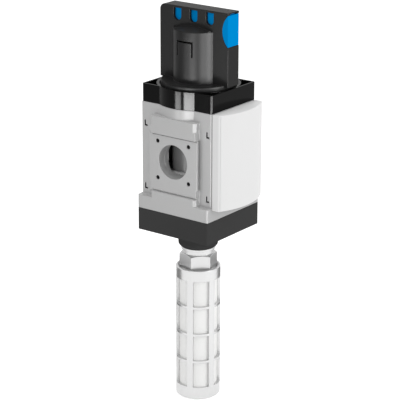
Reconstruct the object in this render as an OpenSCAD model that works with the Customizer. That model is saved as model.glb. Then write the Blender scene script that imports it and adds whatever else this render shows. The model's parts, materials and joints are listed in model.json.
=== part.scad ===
// Lockable hand-turned 3/2-way on-off valve for compressed air, with a silencer on its exhaust.
// The origin is the centre of the inlet port on its sealing face.
// +X runs with the flow from inlet to outlet, +Z is up, and the white front cover faces -Y.
// The knob is drawn in its off position, across the flow, with the padlock slider pushed in.

/* [Module] */
// Width and depth of the square flange and of the base below it
module_w = 62; // [61:0.5:66]
// How far the flange stands out past the valve body on the two port sides
port_side_inset = 5.2; // [4.5:0.1:6]
// How far the front of the valve body stays behind the flange's edge
front_inset = 0.5; // [0.2:0.1:1]
// Height of the top of the valve body above the port axis
body_top = 38.7; // [38:0.1:42]
// Depth of the underside of the flange below the port axis
flange_bottom = 38.8; // [37:0.1:42]
// Thickness of the flange
flange_t = 9.7; // [8:0.1:10.5]
// How far the cylinder that bulges through the port sides stays inside the flange's edge
bulge_inset = 1.2; // [0.5:0.1:2]
// Radius of the small vertical edges of the housings
edge_r = 1.2; // [0.4:0.1:1.4]

/* [Port faces] */
// Radius of the inlet and outlet ports
port_r = 12.4; // [11:0.1:12.6]
// Spacing of the four screw holes around each port
port_square = 27; // [25.5:0.5:29]
// Depth of the turned mouth of each port
port_mouth = 6; // [4:0.5:6]
// How much narrower the passage behind the mouth is, in radius
port_step = 0.4; // [0.2:0.1:0.8]
// Radius of the pin holes around the inlet port
port_pin_r = 1.5; // [1.3:0.1:2]
// Radius of the thread holes around the outlet port
port_thread_r = 1.25; // [1:0.05:1.25]
// Depth of those holes
port_hole_depth = 7; // [5:0.5:8]
// Width of the raised port boss
boss_w = 40; // [38:0.5:42]
// Height of the top of the port boss above the port axis
boss_top = 31.3; // [30:0.1:33]
// Height of the upper edge of the recessed panel above the port axis
panel_top = 18.6; // [18:0.1:20]
// Depth of the lower edge of the recessed panel below the port axis
panel_bottom = 23.6; // [22.5:0.1:24.5]
// Depth of the panel below the rails above and under it
panel_recess = 1; // [0.6:0.1:1.6]
// Thickness of the panel's overhanging side lips
panel_lip_t = 2; // [1.5:0.1:2.6]
// How far the panel's side lips stand out past the boss
panel_lip_out = 1; // [0.5:0.1:1.5]
// Depth of the side groove behind each lip
side_groove = 2.5; // [1:0.1:3]
// Height of the thin undercut lines along the rails
rail_line = 0.7; // [0.4:0.1:1]
// Depth of those lines below the panel
rail_line_depth = 1.2; // [0.8:0.1:2]
// Height of the panel's lower stretch, which has no side lips
lip_start = 6.1; // [5:0.1:8]
// Distance from the panel up to the chamfers of the upper rail
rail_start = 6; // [5:0.5:7]
// Size of the notch at the far end of the upper line
line_notch = 2; // [1:0.1:3]
// Chamfer on the outer upright corners of the rails
rail_chamfer = 1.8; // [1:0.1:2.5]
// Height of each L-shaped latch pocket
latch_h = 4.4; // [3.5:0.1:5]
// Width of the foot of each L-shaped latch pocket
latch_w = 2.7; // [2:0.1:3]
// Width of the two strokes of each latch pocket
latch_stroke = 1.1; // [0.8:0.1:1.2]
// Depth of the latch pockets
latch_depth = 2.5; // [1:0.1:3]
// Distance of the latch pockets from the flange's edge
latch_edge = 3.9; // [3:0.1:5]
// Height of the latch pockets above and below the port axis
latch_z = 23.3; // [22:0.1:25]

/* [Front cover] */
// How far the curved front of the white cover stands out past the flange
front_depth = 12.3; // [11:0.1:14]
// Radius of the cover's curved front
front_arc_r = 52; // [48:0.5:60]
// Radius of the cover's upright edges
front_edge_r = 1.2; // [0.8:0.1:2]
// Wall of the front cover
front_wall = 2; // [1.6:0.1:2.6]
// Gap between the front cover and the valve body
front_gap = 0.5; // [0.3:0.1:0.8]
// How far the cover hangs down over the front of the flange
front_lap = 1.4; // [0.5:0.1:3]
// Thickness of the ribs behind the cover's front
rib_t = 1.6; // [1.2:0.1:2.4]
// Distance of the outer ribs and of the snap hooks from the middle of the cover
hook_x = 17; // [14:0.5:19]
// Height of the snap hooks above and below the port axis
hook_z = 25; // [22:0.5:25.5]
// Width of each snap hook
hook_w = 7; // [5:0.5:9]
// Length of each snap hook inside the body
hook_l = 4.5; // [3.5:0.1:5]
// Thickness of each snap hook
hook_t = 1.6; // [1.2:0.1:2]
// Height of the barb at the tip of each snap hook
hook_barb = 0.4; // [0.3:0.1:0.8]

/* [Top cover] */
// Height of the black top cover
top_h = 13.1; // [12.5:0.1:15]
// How much narrower the top cover is than the body, on each side
top_inset = 0.2; // [0:0.1:0.6]
// How far the back of the top cover stays inside the back of the body
top_back_inset = 0.5; // [0.3:0.1:1]
// Wall round the corner pockets
pocket_wall = 1.4; // [1:0.1:1.8]
// Depth of the corner pockets that hold the cover screws
pocket_depth = 7.5; // [5:0.1:8.5]
// Wall round the turned recess that the knob's disc sits in
dial_wall = 2.2; // [1.8:0.1:3]
// Depth of that recess
dial_depth = 1.5; // [1:0.1:2]
// Thickness of the deck under the knob
deck_t = 2.2; // [1.8:0.1:2.6]
// Radius of the cover screw heads
cover_screw_head_r = 2.7; // [2.2:0.1:2.8]
// Radius of the cover screw shanks
cover_screw_r = 1.6; // [1.2:0.1:1.8]
// Height of the cover screw heads
cover_screw_head_h = 2.2; // [1.6:0.1:3]
// Length of thread that a cover screw has in the body
cover_screw_bite = 10; // [8:0.5:14]

/* [Knob] */
// Thickness of the paddle
paddle_t = 12.8; // [12:0.1:14]
// How far the back end of the paddle stays inside the bulge's radius
paddle_back_inset = 0.5; // [0:0.1:1.5]
// Height of the paddle above its underside
paddle_h = 52.4; // [51.5:0.1:56]
// Gap between the top cover and the underside of the paddle
paddle_gap = 1.6; // [1.4:0.1:2.2]
// Radius of the paddle's upper back corner
paddle_corner_r = 4; // [2:0.5:5]
// Radius of the half barrels on both sides of the paddle
barrel_r = 18; // [17.5:0.1:19]
// Height of the half barrels above the knob's disc
barrel_h = 36.5; // [35:0.5:37.5]
// How much the top of each half barrel rises towards the paddle
barrel_crown = 2.4; // [1:0.1:3]
// Wall of the half barrels
barrel_wall = 3; // [2.5:0.1:3.4]
// Gap round the knob's disc
disc_gap = 0.6; // [0.4:0.1:1]
// Height of the top of the disc above the top cover
disc_rise = 2.7; // [2:0.1:3.2]
// Width of the snap tab in each half barrel
tab_w = 13.6; // [11:0.2:15]
// Height of the snap tab
tab_h = 10.8; // [9:0.1:12]
// Distance from the top of the half barrel down to the tab's slot
tab_drop = 6.7; // [6:0.1:9]
// Width of the slot round the tab
tab_slot = 1; // [0.6:0.1:1.4]
// Distance from the top of the tab down to the rim that its hook catches
tab_hook_drop = 4.8; // [3:0.1:6]
// Thickness of that hook
tab_hook_t = 2.6; // [2:0.1:3]
// Thickness of the roof over the knob's hollow
barrel_roof = 3; // [2:0.1:4]
// Chamfer round the top of the knob's disc
disc_chamfer = 0.4; // [0.2:0.1:1]

/* [Padlock slider] */
// Number of padlock windows
window_count = 3; // [2:1:3]
// Distance between padlock windows
window_pitch = 14; // [13.5:0.1:14.4]
// Width of each padlock window
window_w = 6.5; // [6:0.1:7]
// Height of each padlock window
window_h = 8.6; // [7.5:0.1:8.8]
// Thickness of the paddle's roof over the windows
window_roof = 1.6; // [1.4:0.1:2.2]
// Thickness of the slider's blade
blade_t = 8; // [6:0.1:9]
// How far the blade reaches above and below the windows
blade_lap = 0.6; // [0.4:0.1:0.7]
// Radius of the slider's round head
head_r = 15.6; // [15:0.1:16.2]
// How far the head's centre lies in front of the paddle
head_out = 10.4; // [10:0.1:11]
// Sliding clearance round the slider
slider_clear = 0.15; // [0.1:0.05:0.25]

/* [Mechanism] */
// Lift of the valve stem over the quarter turn
lift = 8; // [6:0.5:8]
// Radius of the valve stem
stem_r = 5; // [4.5:0.1:5.2]
// Radius of the lower, threaded end of the stem
stem_end_r = 3; // [2.5:0.1:3.5]
// How far the stem's shoulder under the inlet seal stands out
shoulder_out = 1.6; // [1.2:0.1:2.4]
// Thickness of that shoulder
shoulder_t = 2.2; // [1.6:0.1:2.6]
// Width of the mouth of the stem's circlip
circlip_mouth = 3; // [2:0.5:4]
// Thickness of the circlip
circlip_t = 1; // [0.8:0.1:1.2]
// Depth of the circlip's groove in the stem
circlip_bite = 0.7; // [0.4:0.1:0.9]
// How far the circlip stands out of the stem
circlip_out = 1.4; // [1:0.1:2]
// Half the distance across the corners of the stem's nut
stem_nut_r = 5.8; // [5.2:0.1:6.5]
// Height of the stem's nut
stem_nut_h = 4; // [3:0.5:5]
// Radius of the cross pin
pin_r = 2; // [1.5:0.1:2.2]
// Clearance of the cross pin in its slots
pin_clear = 0.3; // [0.2:0.05:0.4]
// Outer radius of the spindle's cam sleeve
spindle_r = 8; // [7.6:0.1:8.4]
// Running clearance of turning and sliding pieces
run_clear = 0.06; // [0.03:0.01:0.1]
// Radius of the spindle's head inside the knob
spindle_head_r = 14.7; // [14:0.1:14.8]
// Wall of that head
spindle_head_wall = 2.5; // [2:0.1:3]
// How far the spindle's collar stands out, and the thrust washer with it
collar_out = 2.4; // [2:0.1:2.8]
// Thickness of the thrust washer
thrust_t = 0.6; // [0.4:0.1:0.8]
// Thickness of the floor of that head
spindle_floor_t = 3.6; // [3:0.1:4]
// Thickness of the spindle's collar
collar_t = 0.7; // [0.6:0.1:1]
// Width of the two ribs by which the knob turns the spindle
key_w = 4; // [3:0.1:5]
// How far those ribs stand into the knob's hollow
key_depth = 2.2; // [1.5:0.1:2.4]
// Wall of the guide bush
bush_wall = 3.6; // [3:0.1:4]
// Radius of the guide bush's flange
bush_flange_r = 22.4; // [21.5:0.1:23]
// Thickness of the guide bush's flange
bush_flange_t = 4; // [3.5:0.1:4.5]
// Radius of the two valve seats' openings
orifice_r = 10; // [9:0.1:10.5]
// Height of the inlet seat above the port axis
inlet_seat_z = 15; // [14.8:0.1:15.5]
// Thickness of the inlet seat's wall
seat_t = 2; // [1.6:0.1:2.2]
// Radius of the inlet chamber and of the seat ring's bore
chamber_r = 19; // [18.5:0.1:19.5]
// Wall between the inlet pocket and the outlet chamber
chamber_wall = 2.5; // [2:0.1:3]
// Depth of the inlet pocket round that wall
pocket_ring = 4; // [3.5:0.1:4.5]
// Thickness of the exhaust seat ring
seat_ring_t = 4; // [3.5:0.1:4.5]
// Radius of the inlet disc
inlet_disc_r = 15.8; // [15.5:0.1:16.5]
// Radius of the exhaust disc
exhaust_disc_r = 13.4; // [13:0.1:14]
// Thickness of both discs
disc_t = 4.2; // [3.8:0.1:4.6]
// Thickness of the rubber seals in the discs
seal_t = 2; // [1.6:0.1:2.4]
// How far the seals stand out of their discs
seal_proud = 0.5; // [0.3:0.1:0.6]
// How far the inlet seal reaches past the opening of its seat
inlet_seal_lap = 3.5; // [2.5:0.1:4]
// How far the exhaust seal reaches past the opening of its seat
exhaust_seal_lap = 2; // [1.5:0.1:2.4]
// Gap between a seal and its seat
seal_gap = 0.3; // [0.2:0.05:0.4]
// Radius of the spring wire
spring_wire_r = 0.9; // [0.7:0.05:1]
// Number of spring turns
spring_turns = 3; // [2.5:0.5:3]
// Radius of the O-ring cords
cord_r = 1; // [0.8:0.05:1.1]

/* [Base and silencer] */
// Height of the dark base block
base_h = 16.5; // [15:0.1:18]
// Radius of the round boss under the base
base_boss_r = 14.5; // [14:0.1:15.5]
// Height of the round boss under the base
base_boss_h = 14.4; // [13:0.1:16]
// Radius of the boss's lower edge
base_boss_round = 3.2; // [2:0.1:3.5]
// Thickness of the base's floor
base_floor_t = 2.5; // [2:0.1:4]
// Wall of the collar that holds the seat ring
collar_wall = 3.4; // [3:0.1:3.8]
// Distance of the base screws from the flange's edges
base_screw_edge = 6.5; // [6:0.1:7]
// Radius of the base screw shanks
base_screw_r = 2.5; // [2:0.1:2.6]
// Radius of the base screw heads
base_screw_head_r = 4.2; // [4:0.1:4.5]
// Height of the base screw heads
base_screw_head_h = 4.5; // [4:0.1:5.5]
// How deep the base screw heads lie under the base's underside
base_screw_sink = 0.5; // [0.3:0.1:1.5]
// Radius of the silencer's thread
thread_r = 10.4; // [10:0.05:10.5]
// Length of the silencer's thread
thread_l = 12; // [11:0.5:13]
// Thickness of the sealing washer
washer_t = 1.6; // [1.2:0.1:2.2]
// Radius of the sealing washer
washer_r = 12.6; // [12:0.1:13]
// Width across the flats of the silencer's hexagon
hex_af = 24; // [23:0.5:25]
// Height of the hexagon that shows
hex_h = 10; // [8:0.5:12]
// Height of the round neck above the hexagon
neck_h = 3.2; // [2:0.1:4]
// Radius of that neck
neck_r = 11.2; // [11:0.1:11.4]
// How far the hexagon is turned about the main axis, in degrees
hex_turn = 15; // [0:1:60]
// Height of the turned chamfer on the hexagon's upper corners
hex_chamfer = 1.2; // [0.8:0.1:2]
// Wall of the fitting's thread
fitting_wall = 3; // [2:0.1:4]
// Radius of the silencer's sleeve
sleeve_r = 16.3; // [16:0.1:17.5]
// Length of the silencer's sleeve
sleeve_l = 101; // [96:1:110]
// Wall of the silencer's sleeve
sleeve_wall = 2.2; // [1.8:0.1:2.4]
// Chamfer round the top of the sleeve
sleeve_chamfer = 0.4; // [0.2:0.1:0.8]
// Chamfer round the foot of the sleeve
sleeve_foot = 1; // [0.5:0.1:1.5]
// Depth of the recess round the hexagon
sleeve_recess = 2; // [1.5:0.1:3]
// Wall round that recess
sleeve_rim = 1.5; // [1.2:0.1:1.8]
// Height of the plain band above the windows
band_top = 8.5; // [8:0.1:10]
// Height of the plain band below the windows
band_bottom = 9.5; // [8.5:0.1:11]
// Number of window rows
row_count = 4; // [3:1:5]
// Number of windows in each row
column_count = 6; // [5:1:8]
// Height of the ring ribs between the rows
row_rib = 1.75; // [1.2:0.05:2.5]
// Width of the upright ribs between the windows, in degrees
column_rib = 17; // [12:1:20]
// How far the windows are turned about the main axis, in degrees
window_turn = 45; // [0:1:60]
// Wall of the porous liner
liner_wall = 2.4; // [2:0.1:3]
// Thickness of the silencer's end plug
end_plug_t = 3; // [2:0.1:5]

/* [Hidden] */

$fn = 64;
eps = 0.01;
fit_clear = 0.05;                 // clearance between pieces that are pressed or bolted together
press_clear = 0.02;               // clearance of the pressed cross pin
deck_gap = 0.3;                   // gap between the deck and what turns on it
head_gap = 0.3;                   // gap round the ends of hooks and of the slider
groove_clear = 4 * fit_clear;     // wider clearance of grooves, screw shanks and turning collars
hole_spare = 0.5;                 // how much deeper a blind screw hole is than its screw
cut = 1;                          // how far a cut runs past what it cuts
axis_x = module_w / 2 - panel_recess;
half_w = module_w / 2;
face_x = half_w;                  // outermost plane of the port faces, from the main axis
panel_x = face_x - panel_recess;
side_x = half_w - port_side_inset;
body_front = half_w - front_inset;
body_back = half_w;
bulge_r = half_w - bulge_inset;
front_reach = half_w + front_depth;
base_screw_xy = half_w - base_screw_edge;
latch_y = half_w - latch_edge;
lip_h = panel_top + panel_bottom - lip_start;
port_passage_r = port_r - port_step;

flange_top = flange_bottom - flange_t;
chamfer_side = rail_chamfer * sqrt(2);
rail_land = 0.4;                  // square stretch of the lower rail above its chamfer
notch_drop = 0.4;                 // how far the notch reaches below the panel's upper edge
dial_r = bulge_r - dial_wall;
disc_r = dial_r - disc_gap;
paddle_front = bulge_r;           // flush with the bulge
paddle_back = bulge_r - paddle_back_inset;

cover_top_z = body_top + top_h;
deck_top = cover_top_z - dial_depth;
deck_under = deck_top - deck_t;
disc_top = cover_top_z + disc_rise;
paddle_z = cover_top_z + paddle_gap;
paddle_top = paddle_z + paddle_h;
barrel_top = disc_top + barrel_h;
barrel_bore_r = barrel_r - barrel_wall;

window_top = paddle_top - window_roof;
window_z = window_top - window_h;
blade_z = window_z - blade_lap;
blade_top = window_top + blade_lap;
slide_travel = window_pitch / 2;
head_z = (window_top + blade_top) / 2 - sqrt(head_r * head_r - head_out * head_out);
blade_end = 2;                    // material of the blade behind its last hole
slot_back = window_pitch * (window_count - 1) / 2 + slide_travel + window_w / 2 + blade_end;

bush_top = deck_under - thrust_t - collar_t - 2 * groove_clear;
bush_r = spindle_r + bush_wall;
disc_spare = 1.6;                 // gap left over the inlet disc at full lift
bush_bottom = inlet_seat_z + seal_gap + disc_t + lift + disc_spare;
spindle_rise = 0.5;               // how far the spindle ends above the bush's foot
cam_land = 1.7;                   // material of the spindle under its cam slot
pin_z = bush_bottom + spindle_rise + cam_land + pin_clear + pin_r;
pin_inset = 0.6;                  // how far the pin's ends lie inside the bush
pin_reach = bush_r - pin_inset;
stem_land = 2;                    // material of the stem over its pin
stem_top = pin_z + pin_r + stem_land;
stem_spare = 0.8;                 // gap left over the stem at full lift
inlet_seal_z = inlet_seat_z + seal_gap;
spring_bottom = inlet_seal_z + disc_t + seal_proud;
spring_top = body_top - bush_flange_t;
spring_side_gap = 0.6;            // gap between the spring and the bush
spring_mean_r = bush_r + spring_wire_r + spring_side_gap;

outlet_r = chamber_r - chamber_wall;
outlet_half = inlet_seat_z - seat_t;
passage_lap = 6;                  // how far the outlet passage begins inside the outlet chamber
pocket_r = chamber_r + pocket_ring;
pocket_rise = 2;                  // how far the pocket's floor lies above the passage's
pocket_over = 10;                 // how far the pocket reaches above the inlet seat
pocket_front = 4;                 // where the inlet pocket ends, beside the main axis
pocket_floor_z = pocket_rise - port_passage_r;
pocket_top = inlet_seat_z + pocket_over;
seat_ring_z = -outlet_half - seat_ring_t;
exhaust_seal_top = seat_ring_z - lift - seal_gap;
stem_nut_z = exhaust_seal_top - disc_t - stem_nut_h;
collar_r = chamber_r - fit_clear;
collar_bore_r = chamber_r - collar_wall;
base_z = -flange_bottom - base_h;
boss_z = base_z - base_boss_h;
base_floor = base_z + base_floor_t;
hex_top = boss_z - washer_t - neck_h;
sleeve_top = hex_top - hex_h;
sleeve_bottom = sleeve_top - sleeve_l;
plug_step = 1.2;                  // how much narrower the fitting's plug is than the sleeve's bore
plug_r = sleeve_r - sleeve_wall - plug_step;
liner_lap = 1.5;                  // how far the liner reaches above the windows
liner_top = sleeve_top - band_top + liner_lap;
row_top = sleeve_top - band_top;
row_pitch = (sleeve_l - band_top - band_bottom + row_rib) / row_count;

cover_x = side_x - top_inset;
cover_back = body_back - top_back_inset;
cover_screw_edge = pocket_wall + cover_screw_head_r + 2 * groove_clear;
cover_screw_x = cover_x - cover_screw_edge;
cover_screw_back = cover_back - cover_screw_edge;
cover_screw_front = body_front - cover_screw_edge;
pocket_floor = cover_top_z - pocket_depth;
base_screw_cover = 1.8;           // material of the flange over the ends of the base screws
base_screw_end = -flange_top - base_screw_cover;
base_screw_seat = base_z + base_screw_sink + base_screw_head_h;
base_seal_edge = 3;               // distance of the base seal's middle from the chamber
base_seal_r = chamber_r + base_seal_edge;
head_top = barrel_top - tab_drop - tab_hook_drop;
spindle_floor = deck_top + deck_gap + spindle_floor_t;
spindle_seal_z = bush_top - 2 * groove_clear - cord_r;
key_z = spindle_floor + cut;
wall_root = 0.6;                  // how far the knob's ribs and hooks are sunk into its wall
window_ys = [for (i = [0:window_count - 1]) (i - (window_count - 1) / 2) * window_pitch];
socket_share = 0.55;              // size of a screw's socket, as a share of its head
socket_depth = 0.6;               // depth of that socket, as a share of the head's height
cam_steps = 12;                   // places of the cross pin that cut the cam slot
spring_steps = 20;                // steps round one turn of the spring
wire_steps = 8;                   // steps round its wire
spring_path_n = spring_steps * spring_turns;

// Centres of the cover screws, as [x, y]
cover_screws = [for (x = [-cover_screw_x, cover_screw_x])
    for (y = [-cover_screw_front, cover_screw_back]) [x, y]];

// Centres of the base screws, as [x, y]
base_screws = [for (x = [-base_screw_xy, base_screw_xy])
    for (y = [-base_screw_xy, base_screw_xy]) [x, y]];

// Places a piece that is drawn about the main axis
module placed() translate([axis_x, 0, 0]) children();

// Runs its children on the inlet side and, mirrored, on the outlet side
module both_ports() {
    children();
    mirror([1, 0, 0]) children();
}

// Upright block from [x0, y0] to [x1, y1] with rounded upright edges
module rounded_block(x0, x1, y0, y1, z0, z1, r) {
    translate([x0 + r, y0, z0]) cube([x1 - x0 - 2 * r, y1 - y0, z1 - z0]);
    translate([x0, y0 + r, z0]) cube([x1 - x0, y1 - y0 - 2 * r, z1 - z0]);
    for (x = [x0 + r, x1 - r])
        for (y = [y0 + r, y1 - r])
            translate([x, y, z0]) cylinder(r = r, h = z1 - z0);
}

// Cylinder between two heights
module pillar(r, z0, z1) translate([0, 0, z0]) cylinder(r = r, h = z1 - z0);

// Tube between two heights
module tube(r_out, r_in, z0, z1) difference() {
    pillar(r_out, z0, z1);
    pillar(r_in, z0 - cut, z1 + cut);
}

// Ring with a round section, lying level at height z
module o_ring(mean_r, z)
    translate([0, 0, z]) rotate_extrude() translate([mean_r, 0]) circle(r = cord_r);

// Socket-head screw with the seat of its head at the origin and its shank along -Z
module cap_screw(r, length, head_r, head_h) difference() {
    union() {
        pillar(r, -length, 0);
        pillar(head_r, 0, head_h);
    }
    translate([0, 0, head_h * (1 - socket_depth)])
        cylinder(r = head_r * socket_share, h = head_h, $fn = 6);
}

// Cylinder along X between two places
module bar_x(r, x0, x1) translate([x0, 0, 0]) rotate([0, 90, 0]) cylinder(r = r, h = x1 - x0);

// Raised boss of one port, with its rails, recessed panel and side lips
module port_boss() difference() {
    union() {
        translate([-face_x, -boss_w / 2, -flange_top - eps])
            cube([face_x - side_x + eps, boss_w, boss_top + flange_top + eps]);
        translate([-panel_x, -boss_w / 2 - panel_lip_out, -panel_bottom + lip_start])
            cube([panel_lip_t, boss_w + 2 * panel_lip_out, lip_h]);
    }
    // recessed panel
    translate([-face_x - cut, -boss_w, -panel_bottom])
        cube([panel_recess + cut, 2 * boss_w, panel_top + panel_bottom]);
    // undercut lines along both rails
    for (z = [-panel_bottom, panel_top - rail_line])
        translate([-face_x - cut, -boss_w / 2 - 2 * cut, z])
            cube([panel_recess + rail_line_depth + cut, boss_w + 2 * cut - rail_chamfer, rail_line]);
    // notch at the far end of the upper line
    translate([-face_x - cut, (boss_w - line_notch) / 2, panel_top - notch_drop])
        cube([panel_recess + rail_line_depth + cut, line_notch / 2 + 2 * cut, line_notch]);
    // grooves behind the side lips
    for (y = [-boss_w / 2 - cut, boss_w / 2 - side_groove + cut])
        translate([-panel_x + panel_lip_t, y, -panel_bottom + lip_start])
            cube([panel_x - panel_lip_t - side_x, side_groove, lip_h]);
    // chamfered outer corners of the rails
    for (z = [[-flange_top, -panel_bottom - rail_land], [panel_top + rail_start, boss_top + cut]])
        for (side = [-1, 1])
            translate([-face_x, side * boss_w / 2, z[0]])
                rotate([0, 0, 45])
                    translate([-chamfer_side / 2, -chamfer_side / 2, 0])
                        cube([chamfer_side, chamfer_side, z[1] - z[0]]);
}

module valve_body() color("#b7b9bb") placed() difference() {
    union() {
        rounded_block(-side_x, side_x, -body_front, body_back, -flange_bottom, body_top, edge_r);
        rounded_block(-half_w, half_w, -half_w, half_w, -flange_bottom, -flange_top, edge_r);
        pillar(bulge_r, boss_top - cut, body_top);
        both_ports() port_boss();
    }
    valve_body_bores();
    port_holes(port_pin_r);
    mirror([1, 0, 0]) port_holes(port_thread_r);
    for (p = cover_screws)
        translate([p[0], p[1], 0])
            pillar(cover_screw_r + fit_clear, body_top - cover_screw_bite - hole_spare, body_top + cut);
    for (p = base_screws)
        translate([p[0], p[1], 0])
            pillar(base_screw_r + fit_clear, -flange_bottom - cut, base_screw_end + hole_spare);
    // slots for the front cover's hooks
    for (x = [-1, 1])
        for (z = [-1, 1])
            translate([x * hook_x - hook_w / 2 - groove_clear, -body_front - cut,
                z * hook_z - hook_t / 2 - hook_barb])
                cube([hook_w + 2 * groove_clear, hook_l + groove_clear + cut,
                    hook_t + 2 * hook_barb + groove_clear]);
}

module valve_body_bores() {
    // seat of the guide bush's flange
    pillar(bush_flange_r + fit_clear, body_top - bush_flange_t, body_top + cut);
    // inlet chamber
    pillar(chamber_r, inlet_seat_z, body_top);
    // inlet seat
    pillar(orifice_r, inlet_seat_z - seat_t - cut, inlet_seat_z + cut);
    // outlet chamber
    pillar(outlet_r, -outlet_half, outlet_half);
    // exhaust chamber and bore of the seat ring
    pillar(chamber_r, -flange_bottom - cut, -outlet_half);
    // inlet pocket, round the wall of the outlet chamber
    difference() {
        intersection() {
            pillar(pocket_r, pocket_floor_z, pocket_top);
            translate([-pocket_r - cut, -pocket_r - cut, -port_r])
                cube([pocket_r + cut - pocket_front, 2 * (pocket_r + cut), pocket_top + port_r + cut]);
        }
        pillar(chamber_r, -port_r - cut, inlet_seat_z);
    }
    // turned mouths of both ports
    both_ports() bar_x(port_r, -face_x - cut, -panel_x + port_mouth);
    // inlet passage, up to the pocket
    bar_x(port_passage_r, -face_x, -chamber_r - cut);
    // outlet passage, into the outlet chamber
    bar_x(port_passage_r, outlet_r - passage_lap, face_x);
}

// Holes around the port of the inlet side, and the latch pockets beside it
module port_holes(r) {
    for (y = [-1, 1])
        for (z = [-1, 1])
            translate([0, y * port_square / 2, z * port_square / 2])
                bar_x(r, -face_x - cut, -panel_x + port_hole_depth);
    for (y = [-1, 1])
        for (z = [-1, 1])
            translate([-side_x - cut, y * latch_y - latch_w / 2, z * latch_z - latch_h / 2]) {
                translate([0, latch_w - latch_stroke, 0])
                    cube([latch_depth + cut, latch_stroke, latch_h]);
                cube([latch_depth + cut, latch_w, latch_stroke]);
            }
}

// Outer form of the front cover, grown inwards by a wall
module front_form(wall, z0, z1) {
    arc_y = front_arc_r - front_reach;
    r = front_edge_r;
    x = side_x - r;
    y = sqrt(pow(front_arc_r - r, 2) - x * x) - arc_y;
    rear = body_front + front_gap;
    intersection() {
        translate([0, arc_y, z0]) cylinder(r = front_arc_r - wall, h = z1 - z0, $fn = 180);
        translate([-x, -front_reach - cut, z0]) cube([2 * x, front_reach + cut - rear, z1 - z0]);
    }
    translate([-side_x + wall, -y, z0]) cube([2 * (side_x - wall), y - rear, z1 - z0]);
    if (wall < r)
        for (side = [-1, 1])
            translate([side * x, -y, z0]) cylinder(r = r - wall, h = z1 - z0);
}

module front_cover() color("#ececec") placed() {
    z0 = -flange_top - front_lap;
    z1 = body_top - 2 * fit_clear;
    rear = body_front + front_gap;
    difference() {
        front_form(0, z0, z1);
        translate([0, cut, 0]) front_form(front_wall, z0 + front_wall, z1 - front_wall);
    }
    // stiffening ribs behind the front, from the inner floor to the inner roof
    for (x = [-hook_x, 0, hook_x])
        intersection() {
            front_form(front_wall / 2, z0 + front_wall / 2, z1 - front_wall / 2);
            translate([x - rib_t / 2, -front_reach, z0])
                cube([rib_t, front_reach - rear - front_wall, z1 - z0]);
        }
    // snap hooks that sit in the slots of the body, each on its rib
    for (x = [-1, 1])
        for (z = [-1, 1])
            translate([x * hook_x - hook_w / 2, -rear - 2 * front_wall, z * hook_z - hook_t / 2]) {
                cube([hook_w, 2 * front_wall + hook_l, hook_t]);
                translate([0, 2 * front_wall + hook_l - hook_t, 0])
                    cube([hook_w, hook_t, hook_t + hook_barb]);
            }
}

module top_cover() color("#202122") placed() {
    x = cover_x;
    y0 = -body_front;
    y1 = cover_back;
    difference() {
        union() {
            rounded_block(-x, x, y0, y1, body_top, cover_top_z, edge_r);
            intersection() {
                pillar(bulge_r, body_top, cover_top_z);
                translate([-module_w, y0, body_top]) cube([2 * module_w, y1 - y0, top_h]);
            }
        }
        // turned recess for the knob
        pillar(dial_r, deck_top, cover_top_z + cut);
        // room for the guide bush, below the deck
        pillar(bush_flange_r, body_top - cut, deck_under);
        // bearing of the spindle
        pillar(spindle_r + run_clear, deck_under - cut, deck_top + cut);
        // corner pockets
        difference() {
            translate([-x + pocket_wall, y0 + pocket_wall, pocket_floor])
                cube([2 * (x - pocket_wall), y1 - y0 - 2 * pocket_wall, pocket_depth + cut]);
            pillar(bulge_r, pocket_floor - cut, cover_top_z + 2 * cut);
        }
        // through holes and seats of the cover screws
        for (p = cover_screws)
            translate([p[0], p[1], 0]) {
                pillar(cover_screw_r + groove_clear, body_top - cut, pocket_floor + cut);
                pillar(cover_screw_head_r + head_gap, pocket_floor, cover_top_z + cut);
            }
    }
}

module top_cover_screws() color("#8f9296") placed()
    for (p = cover_screws)
        translate([p[0], p[1], pocket_floor])
            cap_screw(cover_screw_r, pocket_floor - body_top + cover_screw_bite,
                cover_screw_head_r, cover_screw_head_h);

module exhaust_base() color("#46484a") placed() difference() {
    union() {
        rounded_block(-half_w, half_w, -half_w, half_w, base_z, -flange_bottom, edge_r);
        pillar(collar_r, -flange_bottom - cut, seat_ring_z);
        // round boss with a rounded lower edge
        translate([0, 0, boss_z]) rotate_extrude() {
            square([base_boss_r - base_boss_round, base_boss_h + cut]);
            translate([0, base_boss_round])
                square([base_boss_r, base_boss_h + cut - base_boss_round]);
            intersection() {
                translate([base_boss_r - base_boss_round, base_boss_round]) circle(r = base_boss_round);
                square([base_boss_r, base_boss_h]);
            }
        }
    }
    pillar(collar_bore_r, base_floor, seat_ring_z + cut);
    pillar(thread_r + fit_clear, boss_z - cut, base_floor + cut);
    // groove for the face seal, open upwards
    translate([0, 0, -flange_bottom]) rotate_extrude()
        translate([base_seal_r - cord_r - groove_clear, -2 * cord_r])
            square([2 * (cord_r + groove_clear), 2 * cord_r + cut]);
    for (p = base_screws)
        translate([p[0], p[1], 0]) {
            pillar(base_screw_r + groove_clear, base_z - cut, -flange_bottom + cut);
            pillar(base_screw_head_r + head_gap, base_z - cut, base_screw_seat);
        }
}

module base_screws() color("#8f9296") placed()
    for (p = base_screws)
        translate([p[0], p[1], base_screw_seat]) rotate([180, 0, 0])
            cap_screw(base_screw_r, base_screw_end - base_screw_seat,
                base_screw_head_r, base_screw_head_h);

module base_seal() color("#1b1b1b") placed() o_ring(base_seal_r, -flange_bottom - cord_r);

module seat_ring() color("#c9a94f") placed() difference() {
    pillar(chamber_r - fit_clear, seat_ring_z, -outlet_half);
    pillar(orifice_r, seat_ring_z - cut, -outlet_half + cut);
    // groove for the seat ring's seal
    tube(chamber_r + cut, chamber_r - 2 * cord_r, seat_ring_z + seat_ring_t / 2 - cord_r,
        seat_ring_z + seat_ring_t / 2 + cord_r);
}

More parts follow.
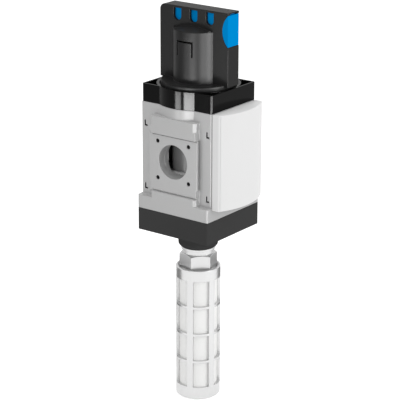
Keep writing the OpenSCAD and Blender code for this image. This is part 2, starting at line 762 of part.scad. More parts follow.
module seat_ring_seal() color("#1b1b1b") placed()
    o_ring(chamber_r - cord_r, seat_ring_z + seat_ring_t / 2);

module guide_bush() color("#d8d8d2") placed() difference() {
    union() {
        pillar(bush_r, bush_bottom, bush_top);
        pillar(bush_flange_r, body_top - bush_flange_t, body_top);
    }
    pillar(spindle_r + run_clear, bush_bottom - cut, bush_top + cut);
    // upright slots that keep the cross pin from turning
    both_ports() {
        translate([-bush_r - cut, -pin_r - pin_clear, bush_bottom - cut])
            cube([bush_wall + 2 * cut, 2 * (pin_r + pin_clear), pin_z + lift - bush_bottom + cut]);
        translate([0, 0, pin_z + lift]) bar_x(pin_r + pin_clear, -bush_r - cut, -spindle_r + cut);
    }
    // groove for the bush's seal
    tube(bush_flange_r + cut, bush_flange_r - 2 * cord_r, body_top - bush_flange_t / 2 - cord_r,
        body_top - bush_flange_t / 2 + cord_r);
}

module guide_bush_seal() color("#1b1b1b") placed()
    o_ring(bush_flange_r - cord_r, body_top - bush_flange_t / 2);

module spindle() color("#c8c4b8") placed() difference() {
    union() {
        pillar(spindle_r, bush_bottom + spindle_rise, spindle_floor);
        // collar held between the bush and the deck
        pillar(spindle_r + collar_out, bush_top + groove_clear, bush_top + groove_clear + collar_t);
        // hollow head that carries the knob
        tube(spindle_head_r, spindle_head_r - spindle_head_wall, deck_top + deck_gap, head_top);
        pillar(spindle_head_r - cut, deck_top + deck_gap, spindle_floor);
    }
    // bore of the valve stem
    pillar(stem_r + run_clear, bush_bottom - cut, stem_top + lift + stem_spare);
    // helical cam slot, as the path of the cross pin over a quarter turn
    for (i = [0:cam_steps])
        rotate([0, 0, -90 * i / cam_steps]) translate([0, 0, pin_z + lift * i / cam_steps])
            bar_x(pin_r + pin_clear, -spindle_r - cut, spindle_r + cut);
    // groove for the spindle's seal
    tube(spindle_r + cut, spindle_r - fit_clear - 2 * cord_r, spindle_seal_z - cord_r,
        spindle_seal_z + cord_r);
    // keyways for the knob's ribs
    for (turn = [0, 180])
        rotate([0, 0, turn])
            translate([-key_w / 2 - 2 * fit_clear, spindle_head_r - spindle_head_wall - cut, key_z])
                cube([key_w + 4 * fit_clear, spindle_head_wall + 2 * cut, head_top]);
}

module spindle_seal() color("#1b1b1b") placed() o_ring(spindle_r - fit_clear - cord_r, spindle_seal_z);

module thrust_washer() color("#e4e0d0") placed()
    tube(spindle_r + collar_out, spindle_r + groove_clear, deck_under - thrust_t, deck_under);

module cross_pin() color("#b9bcc0") placed() translate([0, 0, pin_z]) bar_x(pin_r, -pin_reach, pin_reach);

module valve_stem() color("#c9a94f") placed() difference() {
    union() {
        pillar(stem_r, exhaust_seal_top - seal_t, stem_top);
        pillar(stem_end_r, stem_nut_z - cut, exhaust_seal_top - seal_t + cut);
        pillar(stem_r + shoulder_out, inlet_seal_z - shoulder_t, inlet_seal_z);
    }
    translate([0, 0, pin_z]) bar_x(pin_r + press_clear, -stem_r - cut, stem_r + cut);
    // groove of the circlip
    tube(stem_r + cut, stem_r - circlip_bite, spring_bottom, spring_bottom + circlip_t + 2 * fit_clear);
}

module inlet_disc() color("#b9bcc0") placed() difference() {
    pillar(inlet_disc_r, inlet_seal_z + seal_proud, spring_bottom);
    pillar(stem_r + fit_clear, inlet_seal_z, spring_bottom + cut);
    pillar(orifice_r + inlet_seal_lap + 2 * fit_clear, inlet_seal_z, inlet_seal_z + seal_t);
}

module inlet_seal() color("#1b1b1b") placed()
    tube(orifice_r + inlet_seal_lap, stem_r + fit_clear, inlet_seal_z, inlet_seal_z + seal_t);

module stem_circlip() color("#8f9296") placed() difference() {
    tube(stem_r + circlip_out, stem_r - circlip_bite + fit_clear,
        spring_bottom + fit_clear, spring_bottom + fit_clear + circlip_t);
    // mouth of the ring
    translate([0, -circlip_mouth / 2, spring_bottom])
        cube([2 * stem_r, circlip_mouth, circlip_t + cut]);
}

module exhaust_disc() color("#b9bcc0") placed() difference() {
    pillar(exhaust_disc_r, exhaust_seal_top - disc_t, exhaust_seal_top - seal_proud);
    pillar(stem_end_r + fit_clear, exhaust_seal_top - disc_t - cut, exhaust_seal_top);
    pillar(orifice_r + exhaust_seal_lap + 2 * fit_clear, exhaust_seal_top - seal_t, exhaust_seal_top);
}

module exhaust_seal() color("#1b1b1b") placed()
    tube(orifice_r + exhaust_seal_lap, stem_r + fit_clear, exhaust_seal_top - seal_t, exhaust_seal_top);

module stem_nut() color("#8f9296") placed() difference() {
    translate([0, 0, stem_nut_z]) cylinder(r = stem_nut_r, h = stem_nut_h, $fn = 6);
    pillar(stem_end_r + fit_clear, stem_nut_z - cut, stem_nut_z + stem_nut_h + cut);
}

// Centre of the spring's wire after i steps
function spring_point(i) =
    let (a = 360 * i / spring_steps,
        rise = spring_top - spring_bottom - 2 * (spring_wire_r + 2 * fit_clear))
    [spring_mean_r * cos(a), spring_mean_r * sin(a),
        spring_bottom + spring_wire_r + 2 * fit_clear + rise * i / spring_path_n];

module return_spring() color("#a9adb2") placed() polyhedron(
    points = [for (i = [0:spring_path_n]) for (j = [0:wire_steps - 1])
        let (a = 360 * i / spring_steps, b = 360 * j / wire_steps, c = spring_point(i))
        [c[0] + spring_wire_r * cos(b) * cos(a), c[1] + spring_wire_r * cos(b) * sin(a),
            c[2] + spring_wire_r * sin(b)]],
    faces = concat(
        [[for (j = [0:wire_steps - 1]) j]],
        [[for (j = [wire_steps - 1:-1:0]) spring_path_n * wire_steps + j]],
        [for (i = [0:spring_path_n - 1]) for (j = [0:wire_steps - 1])
            let (k = (j + 1) % wire_steps, near = i * wire_steps, far = near + wire_steps)
            [near + j, far + j, far + k, near + k]]));

// Outline of the padlock windows, seen along X: a slot with a round foot
module window_hole(y, reach) translate([0, y, window_z + window_w / 2]) {
    bar_x(window_w / 2, -reach, reach);
    translate([-reach, -window_w / 2, 0]) cube([2 * reach, window_w, window_h - window_w / 2]);
}

// Paddle without its cut-outs
module paddle_form() {
    r = paddle_corner_r;
    t = paddle_t / 2;
    translate([-t, -paddle_front, paddle_z]) cube([paddle_t, paddle_front + paddle_back - r, paddle_h]);
    translate([-t, -paddle_front, paddle_z]) cube([paddle_t, paddle_front + paddle_back, paddle_h - r]);
    translate([-t, paddle_back - r, paddle_top - r]) rotate([0, 90, 0]) cylinder(r = r, h = paddle_t);
}

// Half barrels, with their crowned top
module barrel_form() {
    pillar(barrel_r, disc_top - disc_chamfer - cut, barrel_top);
    translate([0, 0, barrel_top - eps])
        cylinder(r1 = barrel_r, r2 = paddle_t / 2, h = barrel_crown);
}

module knob() color("#3a3b3c") placed() {
    difference() {
        union() {
            paddle_form();
            barrel_form();
            pillar(disc_r, deck_top + deck_gap, disc_top - disc_chamfer);
            translate([0, 0, disc_top - disc_chamfer])
                cylinder(r1 = disc_r, r2 = disc_r - disc_chamfer, h = disc_chamfer);
        }
        // hollow for the spindle's head
        pillar(barrel_bore_r, deck_top - cut, barrel_top - barrel_roof);
        // slots round both snap tabs
        both_ports() tab_slots();
        // round cut-out for the slider's head
        translate([0, -paddle_front - head_out, head_z]) bar_x(head_r, -paddle_t, paddle_t);
        // slot of the slider's blade
        translate([-blade_t / 2 - slider_clear, -paddle_front - cut, blade_z - slider_clear])
            cube([blade_t + 2 * slider_clear, paddle_front + cut + slot_back + head_gap,
                blade_top - blade_z + 2 * slider_clear]);
        for (y = window_ys) window_hole(y, paddle_t);
    }
    // hooks of the snap tabs, over the rim of the spindle's head
    both_ports() translate([-barrel_bore_r - wall_root, -tab_w / 2 + 2 * tab_slot, head_top + head_gap])
        cube([tab_hook_t, tab_w - 4 * tab_slot, tab_hook_t]);
    // ribs that turn the spindle
    for (turn = [0, 180])
        rotate([0, 0, turn]) translate([-key_w / 2, barrel_bore_r - key_depth, key_z + head_gap])
            cube([key_w, key_depth + wall_root, head_top - key_z - 2 * head_gap]);
}

// Slot round the snap tab of the inlet side
module tab_slots() {
    reach = barrel_wall + 3 * cut;
    translate([-barrel_r - cut, -tab_w / 2, barrel_top - tab_drop - tab_h]) {
        translate([0, 0, tab_h - tab_slot]) cube([reach, tab_w, tab_slot]);
        for (y = [0, tab_w - tab_slot])
            translate([0, y, 0]) cube([reach, tab_slot, tab_h]);
    }
}

module lock_slider() color("#0a80c8") placed() difference() {
    union() {
        // blade, which begins inside the head
        translate([-blade_t / 2, -paddle_front + blade_end, blade_z])
            cube([blade_t, paddle_front - blade_end + slot_back, blade_top - blade_z]);
        // round head, flush with the paddle
        intersection() {
            translate([0, -paddle_front - head_out, head_z])
                bar_x(head_r - slider_clear, -paddle_t / 2, paddle_t / 2);
            translate([-paddle_t, -paddle_front + head_gap, head_z - head_r])
                cube([2 * paddle_t, head_r, 2 * head_r]);
        }
    }
    // padlock holes, which meet the windows when the slider is out
    for (y = window_ys) window_hole(y + slide_travel, paddle_t);
}

module silencer_washer() color("#d5d6d6") placed()
    tube(washer_r, thread_r + fit_clear, boss_z - washer_t, boss_z);

module silencer_fitting() color("#d9dadb") placed() difference() {
    hex_r = hex_af / sqrt(3);
    hex_z = sleeve_top - sleeve_recess;
    union() {
        pillar(thread_r, boss_z - washer_t - cut, boss_z + thread_l);
        pillar(neck_r, hex_top, boss_z - washer_t);
        intersection() {
            translate([0, 0, hex_z]) rotate([0, 0, hex_turn])
                cylinder(r = hex_r, h = hex_top - hex_z, $fn = 6);
            // turned chamfer on the upper corners of the hexagon
            union() {
                pillar(hex_af, hex_z, hex_top - hex_chamfer);
                translate([0, 0, hex_top - hex_chamfer])
                    cylinder(r1 = hex_r + groove_clear, r2 = hex_af / 2 - groove_clear, h = hex_chamfer);
            }
        }
        pillar(plug_r, liner_top, hex_z + cut);
    }
    pillar(thread_r - fitting_wall, liner_top - cut, boss_z + thread_l + cut);
}

module silencer_sleeve() color("#dedfdf") placed() difference() {
    union() {
        translate([0, 0, sleeve_bottom])
            cylinder(r1 = sleeve_r - sleeve_foot, r2 = sleeve_r, h = sleeve_foot);
        pillar(sleeve_r, sleeve_bottom + sleeve_foot, sleeve_top - sleeve_chamfer);
        translate([0, 0, sleeve_top - sleeve_chamfer])
            cylinder(r1 = sleeve_r, r2 = sleeve_r - sleeve_chamfer, h = sleeve_chamfer);
    }
    // recess round the hexagon
    pillar(sleeve_r - sleeve_rim, sleeve_top - sleeve_recess, sleeve_top + cut);
    pillar(plug_r + fit_clear, liner_top - cut, sleeve_top);
    pillar(sleeve_r - sleeve_wall, sleeve_bottom - cut, liner_top);
    // rows of windows
    for (row = [0:row_count - 1])
        for (column = [0:column_count - 1])
            rotate([0, 0, column * 360 / column_count + window_turn])
                translate([0, 0, row_top - (row + 1) * row_pitch + row_rib])
                    sleeve_window(row_pitch - row_rib);
}

// Window of the sleeve, centred on +X, with radial side walls
module sleeve_window(h) {
    half = 180 / column_count - column_rib / 2;
    reach = sleeve_r + 2 * cut;
    linear_extrude(height = h)
        polygon([[0, 0], [reach * cos(half), -reach * sin(half)], [reach / cos(half), 0],
            [reach * cos(half), reach * sin(half)]]);
}

module silencer_liner() color("#e6e6e2") placed()
    tube(sleeve_r - sleeve_wall - fit_clear, sleeve_r - sleeve_wall - liner_wall,
        sleeve_bottom + end_plug_t, liner_top);

module silencer_end_plug() color("#dedfdf") placed()
    pillar(sleeve_r - sleeve_wall - fit_clear, sleeve_bottom + head_gap, sleeve_bottom + end_plug_t);

valve_body();
front_cover();
top_cover();
top_cover_screws();
exhaust_base();
base_screws();
base_seal();
seat_ring();
seat_ring_seal();
guide_bush();
guide_bush_seal();
spindle();
spindle_seal();
thrust_washer();
knob();
lock_slider();
valve_stem();
cross_pin();
inlet_disc();
inlet_seal();
stem_circlip();
exhaust_disc();
exhaust_seal();
stem_nut();
return_spring();
silencer_washer();
silencer_fitting();
silencer_sleeve();
silencer_liner();
silencer_end_plug();
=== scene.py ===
# Lockable pneumatic on-off valve with a silencer: finishes, broken edges, light and camera.
from math import cos, degrees, radians, sin

import bmesh
import bpy
from mathutils import Matrix, Vector
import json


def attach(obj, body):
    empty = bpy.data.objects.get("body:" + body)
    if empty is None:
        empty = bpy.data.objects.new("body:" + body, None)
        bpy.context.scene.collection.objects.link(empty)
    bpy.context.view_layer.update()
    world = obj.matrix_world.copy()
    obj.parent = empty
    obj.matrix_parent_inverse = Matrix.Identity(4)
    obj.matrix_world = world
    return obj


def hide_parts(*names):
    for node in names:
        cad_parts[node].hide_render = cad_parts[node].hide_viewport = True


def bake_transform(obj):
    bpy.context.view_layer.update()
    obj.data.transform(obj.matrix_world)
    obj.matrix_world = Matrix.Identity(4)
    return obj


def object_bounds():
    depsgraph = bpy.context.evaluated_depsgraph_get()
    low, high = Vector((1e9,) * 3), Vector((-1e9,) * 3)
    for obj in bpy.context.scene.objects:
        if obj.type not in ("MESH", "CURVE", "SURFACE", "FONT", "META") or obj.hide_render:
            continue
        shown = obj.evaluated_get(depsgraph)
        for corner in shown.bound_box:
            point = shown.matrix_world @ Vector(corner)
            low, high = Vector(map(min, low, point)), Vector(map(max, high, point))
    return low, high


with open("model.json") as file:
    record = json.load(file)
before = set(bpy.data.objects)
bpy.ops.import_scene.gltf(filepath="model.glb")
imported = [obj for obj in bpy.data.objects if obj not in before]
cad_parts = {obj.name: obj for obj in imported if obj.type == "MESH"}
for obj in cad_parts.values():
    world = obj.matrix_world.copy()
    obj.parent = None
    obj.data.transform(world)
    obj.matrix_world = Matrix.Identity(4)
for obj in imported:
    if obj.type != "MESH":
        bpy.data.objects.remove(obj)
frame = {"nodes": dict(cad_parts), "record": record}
cad_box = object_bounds()
nodes = frame["nodes"]

MM = 0.001  # lengths are in metres, unless a comment says otherwise
WHITE = (1.0, 1.0, 1.0, 1.0)
AXIS_X = 30 * MM  # from the inlet port's face to the valve's upright main axis

# Camera, as fitted to the photograph; angles in degrees
AZIMUTH = -53.24
ELEVATION = 18.39
ROLL = 0.19
DISTANCE = 1234.8 * MM
FOCAL_SHARE = 4.3305  # focal length as a share of the picture's width
SENSOR = 36.0
TARGET = Vector((22.13 * MM, -7.29 * MM, -32.07 * MM))

# Lamps that light the object: azimuth in degrees, distance and height, (width, height), watts
SOFTBOXES = [
    ("front_softbox", 8, 1.3, 0.45, (0.5, 1.2), 5),
    ("left_softbox", -75, 1.3, 0.4, (0.6, 1.2), 1.5),
    ("top_softbox", 180, 0.15, 1.3, (0.9, 0.9), 4.5),
]
SOFTBOX_AIM = -0.04  # height on the main axis that they point at
# Lamps that are only mirrored, as streaks, with the same values; they point level at the main axis
STREAKS = [
    ("left_streak", -80.5, 0.45, -0.1115, (0.19, 0.119), 8.5),
    ("rear_streak", -110, 0.6, -0.14, (0.17, 0.1), 3.0),
    ("front_streak", -6, 0.45, 0.0, (0.2, 0.4), 16.0),
    ("corner_streak", -37, 0.45, -0.06, (0.15, 0.22), 6.5),
]
# Pieces that mirror the streaks; the silencer's bare metal would glare under them
STREAKED = ["valve_body", "top_cover", "knob"]
# Dark cards that the silencer mirrors: azimuth in degrees, width
CARDS = [("rear_card", -165, 0.075), ("right_card", 75, 0.075)]
CARD_HEIGHT = 0.09
CARD_DISTANCE = 0.09  # from the main axis
CARD_MIDDLE = -0.147  # level of their middle
CARD_COLOUR = (0.05, 0.05, 0.05, 1.0)

ROOM_LIGHT = 0.72  # strength of the white room as light; where it is seen, its strength is 1
FLOOR_SIZE = 3.0
FLOOR_GAP = 0.2 * MM  # below the silencer
FLOOR_COLOUR = (0.85, 0.85, 0.85, 1.0)
FLOOR_GLOW = 0.5  # light that is added where the floor is seen or mirrored

# Values of plain_material for each slot of the record
FINISHES = {
    "die_cast_body": dict(
        colour=(0.43, 0.43, 0.43), roughness=0.35, specular=0.12, grain=0.03, grain_size=0.35, tint=0.03),
    "white_plastic": dict(
        colour=(0.78, 0.78, 0.78), roughness=0.42, specular=0.06, grain=0.01, grain_size=0.5, tint=0.01),
    "black_plastic": dict(
        colour=(0.003, 0.003, 0.003), roughness=0.12, specular=0.05, grain=0.003, grain_size=0.5, tint=0.1),
    "knob_plastic": dict(
        colour=(0.014, 0.014, 0.014), roughness=0.4, specular=0.055, grain=0.015, grain_size=0.3, tint=0.08),
    "blue_plastic": dict(
        colour=(0.0, 0.25, 0.64), roughness=0.4, specular=0.0, grain=0.01, grain_size=0.4, tint=0.03),
    "grey_plastic": dict(
        colour=(0.052, 0.052, 0.052), roughness=0.55, specular=0.0, grain=0.04, grain_size=0.3, tint=0.06),
    "inner_plastic": dict(
        colour=(0.6, 0.6, 0.55), roughness=0.5, grain=0.01, grain_size=0.4, tint=0.02),
    "steel": dict(
        colour=(0.55, 0.56, 0.58), roughness=0.3, metallic=0.9, grain=0.01, grain_size=0.2, tint=0.04),
    "brass": dict(
        colour=(0.62, 0.45, 0.18), roughness=0.3, metallic=0.9, grain=0.008, grain_size=0.4, tint=0.04),
    "rubber": dict(
        colour=(0.012, 0.012, 0.012), roughness=0.7, grain=0.02, grain_size=0.4, tint=0.05),
    "silencer_metal": dict(
        colour=(0.66, 0.66, 0.66), roughness=0.32, metallic=0.75, grain=0.01, grain_size=0.3, tint=0.02),
    "porous_liner": dict(
        colour=(0.93, 0.93, 0.92), roughness=0.8, specular=0.2, grain=0.15, grain_size=0.35, tint=0.05),
}
TINT_SCALE = 25.0  # spots of the tint in a metre
ROUGHNESS_SPREAD = 0.12  # how far the fine texture moves the roughness, as a share of it
BUMP_STRENGTH = 0.6

# Half sizes of the boxes that hold the valve body's inner surfaces: all of it, and behind each port panel
BODY_INSIDE = (25.5 * MM, 30.2 * MM, 38.4 * MM)
PORT_INSIDE = (29.4 * MM, 16.5 * MM, 16.5 * MM)
# The chambers in the middle, and a box round both ports' turned mouths
CORE = (19 * MM, 30.2 * MM, 38.4 * MM)
MOUTHS = (31 * MM, 12.45 * MM, 12.45 * MM)
# Shares of the outer colour where shade is painted: in the chambers, and in the small holes and pockets near
# the skin
CORE_SHADE_SHARE = 0.3
HOLE_SHADE_SHARE = 0.12

# Edges with a larger angle than this, in degrees, are broken
SHARP = 28
# Width of the broken edges, in millimetres
EDGE_WIDTHS = {
    "valve_body": 0.25,
    "front_cover": 0.3,
    "top_cover": 0.25,
    "knob": 0.3,
    "lock_slider": 0.2,
    "exhaust_base": 0.3,
    "silencer_fitting": 0.2,
    "silencer_sleeve": 0.2,
    "silencer_washer": 0.2,
}
SAME_POINT = 0.002 * MM  # corners nearer than this are one
SAME_FLAT = radians(0.6)  # faces at a smaller angle than this are one
SLIVER = 0.0005 * MM  # shorter edges than this are closed up


def make_camera():
    """The photograph's view: a long lens from the left front, a little above."""
    azimuth, elevation, roll = radians(AZIMUTH), radians(ELEVATION), radians(ROLL)
    back = Vector((sin(azimuth) * cos(elevation), -cos(azimuth) * cos(elevation), sin(elevation)))
    right = Vector((cos(azimuth), sin(azimuth), 0.0))
    up = back.cross(right)
    right, up = right * cos(roll) + up * sin(roll), up * cos(roll) - right * sin(roll)
    data = bpy.data.cameras.new("camera")
    data.sensor_width = SENSOR
    data.lens = SENSOR * FOCAL_SHARE
    data.clip_start = 0.05
    data.clip_end = 20.0
    camera = bpy.data.objects.new("camera", data)
    bpy.context.scene.collection.objects.link(camera)
    turn = Matrix((right, up, back)).transposed().to_4x4()
    camera.matrix_world = Matrix.Translation(TARGET + back * DISTANCE) @ turn
    bpy.context.scene.camera = camera


def around(azimuth, distance, height):
    """Point at that distance from the main axis; azimuth 0 is in front, 90 degrees on the outlet side."""
    angle = radians(azimuth)
    return (AXIS_X + sin(angle) * distance, -cos(angle) * distance, height)


def area_lamp(name, place, aim_height, size, watts):
    """A rectangular lamp that points at that height of the main axis. size is (width, height) in metres."""
    data = bpy.data.lights.new(name, "AREA")
    data.shape = "RECTANGLE"
    data.size, data.size_y = size
    data.energy = watts
    lamp = bpy.data.objects.new(name, data)
    bpy.context.scene.collection.objects.link(lamp)
    lamp.location = place
    lamp.rotation_mode = "QUATERNION"
    lamp.rotation_quaternion = (Vector(place) - Vector((AXIS_X, 0.0, aim_height))).to_track_quat("Z", "Y")
    return lamp


def make_light(pieces):
    """Soft boxes in front, on the left and above, and lamps for the streaks on round surfaces and edges.

    A streak's lamp is only mirrored, and only by the pieces in STREAKED, so it brightens nothing else.
    """
    for name, azimuth, distance, height, size, watts in SOFTBOXES:
        area_lamp(name, around(azimuth, distance, height), SOFTBOX_AIM, size, watts)
    streaked = bpy.data.collections.new("pieces_with_streaks")
    for name in STREAKED:
        streaked.objects.link(pieces[name])
    for name, azimuth, distance, height, size, watts in STREAKS:
        lamp = area_lamp(name, around(azimuth, distance, height), height, size, watts)
        lamp.visible_diffuse = False
        lamp.light_linking.receiver_collection = streaked


def seen_or_reflected(tree):
    """Is 1 for the rays that look at a thing, straight, mirrored or through glass, and 0 for its light."""
    path = tree.nodes.new("ShaderNodeLightPath")
    mirrored = tree.nodes.new("ShaderNodeMath")
    mirrored.operation = "MAXIMUM"
    tree.links.new(path.outputs["Is Camera Ray"], mirrored.inputs[0])
    tree.links.new(path.outputs["Is Glossy Ray"], mirrored.inputs[1])
    either = tree.nodes.new("ShaderNodeMath")
    either.operation = "MAXIMUM"
    tree.links.new(mirrored.outputs[0], either.inputs[0])
    tree.links.new(path.outputs["Is Transmission Ray"], either.inputs[1])
    return either.outputs[0]


def make_world():
    """A plain white room: full white where it is seen or mirrored, softer as light."""
    world = bpy.data.worlds.new("room")
    bpy.context.scene.world = world
    world.use_nodes = True
    tree = world.node_tree
    tree.nodes.clear()
    out = tree.nodes.new("ShaderNodeOutputWorld")
    lighting = tree.nodes.new("ShaderNodeBackground")
    lighting.inputs["Color"].default_value = WHITE
    lighting.inputs["Strength"].default_value = ROOM_LIGHT
    seen = tree.nodes.new("ShaderNodeBackground")
    seen.inputs["Color"].default_value = WHITE
    mix = tree.nodes.new("ShaderNodeMixShader")
    tree.links.new(seen_or_reflected(tree), mix.inputs["Fac"])
    tree.links.new(lighting.outputs[0], mix.inputs[1])
    tree.links.new(seen.outputs[0], mix.inputs[2])
    tree.links.new(mix.outputs[0], out.inputs["Surface"])


def make_cards():
    """Dark cards beside the silencer for its bare metal to mirror; unseen, and without a shadow."""
    material = bpy.data.materials.new("dark_card")
    material.use_nodes = True
    shader = material.node_tree.nodes["Principled BSDF"]
    shader.inputs["Base Color"].default_value = CARD_COLOUR
    shader.inputs["Specular IOR Level"].default_value = 0.0
    for name, azimuth, width in CARDS:
        bpy.ops.mesh.primitive_plane_add(size=1.0, location=around(azimuth, CARD_DISTANCE, CARD_MIDDLE))
        card = bpy.context.active_object
        card.name = name
        card.scale = (width, CARD_HEIGHT, 1.0)
        card.rotation_euler = (radians(90), 0.0, radians(azimuth))
        card.visible_camera = False
        card.visible_diffuse = False
        card.visible_shadow = False
        card.data.materials.append(material)


def make_floor():
    """A pale floor under the silencer, which keeps the object's shadow."""
    bpy.ops.mesh.primitive_plane_add(size=FLOOR_SIZE, location=(AXIS_X, 0.0, cad_box[0].z - FLOOR_GAP))
    floor = bpy.context.active_object
    floor.name = "floor"
    material = bpy.data.materials.new("pale_floor")
    material.use_nodes = True
    tree = material.node_tree
    tree.nodes.clear()
    out = tree.nodes.new("ShaderNodeOutputMaterial")
    diffuse = tree.nodes.new("ShaderNodeBsdfDiffuse")
    diffuse.inputs["Color"].default_value = FLOOR_COLOUR
    glow = tree.nodes.new("ShaderNodeEmission")
    glow.inputs["Strength"].default_value = FLOOR_GLOW
    both = tree.nodes.new("ShaderNodeAddShader")
    mix = tree.nodes.new("ShaderNodeMixShader")
    tree.links.new(diffuse.outputs[0], both.inputs[0])
    tree.links.new(glow.outputs[0], both.inputs[1])
    tree.links.new(seen_or_reflected(tree), mix.inputs["Fac"])
    tree.links.new(diffuse.outputs[0], mix.inputs[1])
    tree.links.new(both.outputs[0], mix.inputs[2])
    tree.links.new(mix.outputs[0], out.inputs["Surface"])
    floor.data.materials.append(material)


def plain_material(name, colour, roughness, grain, grain_size, tint, metallic=0.0, specular=0.5):
    """A moulded, cast or turned surface.

    grain is the depth of its fine texture and grain_size its spacing, both in millimetres;
    tint is how much its lightness wanders over a few centimetres.
    """
    material = bpy.data.materials.new(name)
    material.use_nodes = True
    tree = material.node_tree
    shader = tree.nodes["Principled BSDF"]
    shader.inputs["Metallic"].default_value = metallic
    shader.inputs["Specular IOR Level"].default_value = specular
    place = tree.nodes.new("ShaderNodeTexCoord")
    cloud = tree.nodes.new("ShaderNodeTexNoise")
    cloud.inputs["Scale"].default_value = TINT_SCALE
    cloud.inputs["Detail"].default_value = 3.0
    tree.links.new(place.outputs["Object"], cloud.inputs["Vector"])
    shade = tree.nodes.new("ShaderNodeMixRGB")
    shade.inputs["Color1"].default_value = (*[level * (1.0 - tint) for level in colour], 1.0)
    shade.inputs["Color2"].default_value = (*[min(level * (1.0 + tint), 1.0) for level in colour], 1.0)
    tree.links.new(cloud.outputs["Fac"], shade.inputs["Fac"])
    tree.links.new(shade.outputs["Color"], shader.inputs["Base Color"])
    fine = tree.nodes.new("ShaderNodeTexNoise")
    fine.inputs["Scale"].default_value = 1.0 / (grain_size * MM)
    fine.inputs["Detail"].default_value = 2.0
    tree.links.new(place.outputs["Object"], fine.inputs["Vector"])
    rough = tree.nodes.new("ShaderNodeMapRange")
    rough.inputs["To Min"].default_value = roughness * (1.0 - ROUGHNESS_SPREAD)
    rough.inputs["To Max"].default_value = roughness * (1.0 + ROUGHNESS_SPREAD)
    tree.links.new(fine.outputs["Fac"], rough.inputs["Value"])
    tree.links.new(rough.outputs["Result"], shader.inputs["Roughness"])
    bump = tree.nodes.new("ShaderNodeBump")
    bump.inputs["Strength"].default_value = BUMP_STRENGTH
    bump.inputs["Distance"].default_value = grain * MM
    tree.links.new(fine.outputs["Fac"], bump.inputs["Height"])
    tree.links.new(bump.outputs["Normal"], shader.inputs["Normal"])
    return material


def paint_shade_inside(material):
    """Paints shade into the colour inside the body, so its chambers, holes and pockets are darker; the
    turned mouths of the ports keep the outer tone.
    """
    tree = material.node_tree
    shader = tree.nodes["Principled BSDF"]
    place = tree.nodes.new("ShaderNodeTexCoord")
    coordinates = tree.nodes.new("ShaderNodeSeparateXYZ")
    tree.links.new(place.outputs["Object"], coordinates.inputs[0])

    def calculate(operation, first, second):
        """Output of a math node; a value is a number or another node's output."""
        node = tree.nodes.new("ShaderNodeMath")
        node.operation = operation
        for socket, value in zip(node.inputs, (first, second)):
            if isinstance(value, float):
                socket.default_value = value
            else:
                tree.links.new(value, socket)
        return node.outputs[0]

    def within(centre, reach, axis):
        """Is 1 where the place on that axis is nearer to centre than reach, and else 0."""
        away = calculate("SUBTRACT", coordinates.outputs[axis], centre)
        return calculate("LESS_THAN", calculate("ABSOLUTE", away, 0.0), reach)

    def box(reach_x, reach_y, reach_z):
        """Is 1 inside a box of those half sizes round the body's middle."""
        across = calculate("MULTIPLY", within(AXIS_X, reach_x, "X"), within(0.0, reach_y, "Y"))
        return calculate("MULTIPLY", across, within(0.0, reach_z, "Z"))

    def darken(where, share):
        """Paints shade: multiplies the colour by share where the mask is 1."""
        outer = shader.inputs["Base Color"].links[0].from_socket
        inner = tree.nodes.new("ShaderNodeMixRGB")
        inner.blend_type = "MULTIPLY"
        inner.inputs["Color2"].default_value = (share, share, share, 1.0)
        tree.links.new(where, inner.inputs["Fac"])
        tree.links.new(outer, inner.inputs["Color1"])
        tree.links.new(inner.outputs[0], shader.inputs["Base Color"])

    core = box(*CORE)
    mouths = calculate("SUBTRACT", box(*MOUTHS), core)
    near_skin = calculate("SUBTRACT", calculate("MAXIMUM", box(*BODY_INSIDE), box(*PORT_INSIDE)), core)
    # painted shade: the chambers, and the holes and pockets near the skin, are made darker
    darken(core, CORE_SHADE_SHARE)
    darken(calculate("SUBTRACT", near_skin, mouths), HOLE_SHADE_SHARE)


def make_materials():
    """One material for each slot of the record."""
    materials = {name: plain_material(name, **values) for name, values in FINISHES.items()}
    # painted shade inside the valve body's chambers, holes and pockets
    paint_shade_inside(materials["die_cast_body"])
    return materials


def edge_angle(edge):
    """Angle between the two faces of an edge, in degrees."""
    return degrees(edge.calc_face_angle(0.0))


def stay_within(shape, corners):
    """Moves vertices that a broken edge has pushed past the piece's own box back to its sides."""
    for axis in range(3):
        low = min(corner[axis] for corner in corners)
        high = max(corner[axis] for corner in corners)
        for vertex in shape.verts:
            vertex.co[axis] = min(max(vertex.co[axis], low), high)


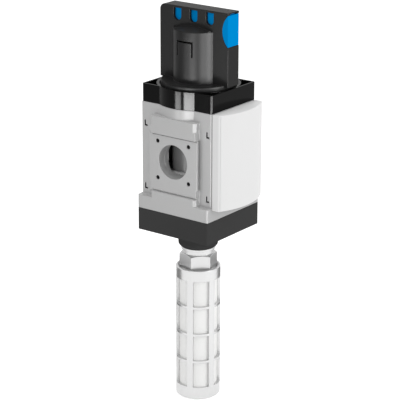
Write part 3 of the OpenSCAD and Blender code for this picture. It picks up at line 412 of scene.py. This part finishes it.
def finished_copy(node, width, body, material):
    """A copy of a CAD node with its sharp edges broken by that width in millimetres, shown in its place."""
    shape = bmesh.new()
    shape.from_mesh(node.data)
    bmesh.ops.remove_doubles(shape, verts=shape.verts, dist=SAME_POINT)
    bmesh.ops.dissolve_limit(shape, angle_limit=SAME_FLAT, verts=shape.verts, edges=shape.edges)
    sharp = [edge for edge in shape.edges if edge_angle(edge) > SHARP]
    bmesh.ops.bevel(
        shape, geom=sharp, offset=width * MM, segments=2, profile=0.5, affect="EDGES",
        clamp_overlap=False)
    stay_within(shape, [vertex.co for vertex in node.data.vertices])
    bmesh.ops.dissolve_degenerate(shape, dist=SLIVER, edges=shape.edges)
    for face in shape.faces:
        face.smooth = True
    mesh = bpy.data.meshes.new(node.name + "_finish")
    shape.to_mesh(mesh)
    shape.free()
    mesh.materials.append(material)
    piece = bpy.data.objects.new(node.name + "_finish", mesh)
    bpy.context.scene.collection.objects.link(piece)
    even = piece.modifiers.new("even_normals", "WEIGHTED_NORMAL")
    even.weight = 90
    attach(piece, body)
    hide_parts(node.name)
    return piece


def make_spring(material):
    """The return spring as a smooth-shaded copy of its CAD node in the given material, baked in place."""
    piece = bpy.data.objects.new("return_spring_finish", nodes["return_spring"].data.copy())
    bpy.context.scene.collection.objects.link(piece)
    for face in piece.data.polygons:
        face.use_smooth = True
    piece.data.materials.clear()
    piece.data.materials.append(material)
    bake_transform(piece)
    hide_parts("return_spring")


def dress_nodes(materials):
    """Gives each CAD node its finish; returns the copies with broken edges, by the node's name."""
    bodies = frame["record"]["behaviour"]["bodies"]
    body_of = {name: body for body, members in bodies.items() for name in members}
    slots = {part["node"]: part["material_slot"] for part in frame["record"]["subparts"]}
    pieces = {}
    for name, node in nodes.items():
        material = materials[slots[name]]
        node.data.materials.clear()
        node.data.materials.append(material)
        if name in EDGE_WIDTHS:
            pieces[name] = finished_copy(node, EDGE_WIDTHS[name], body_of[name], material)
    return pieces


make_camera()
make_world()
finishes = make_materials()
make_light(dress_nodes(finishes))
make_spring(finishes["steel"])
make_floor()
make_cards()

bpy.context.scene.view_settings.view_transform = "Standard"
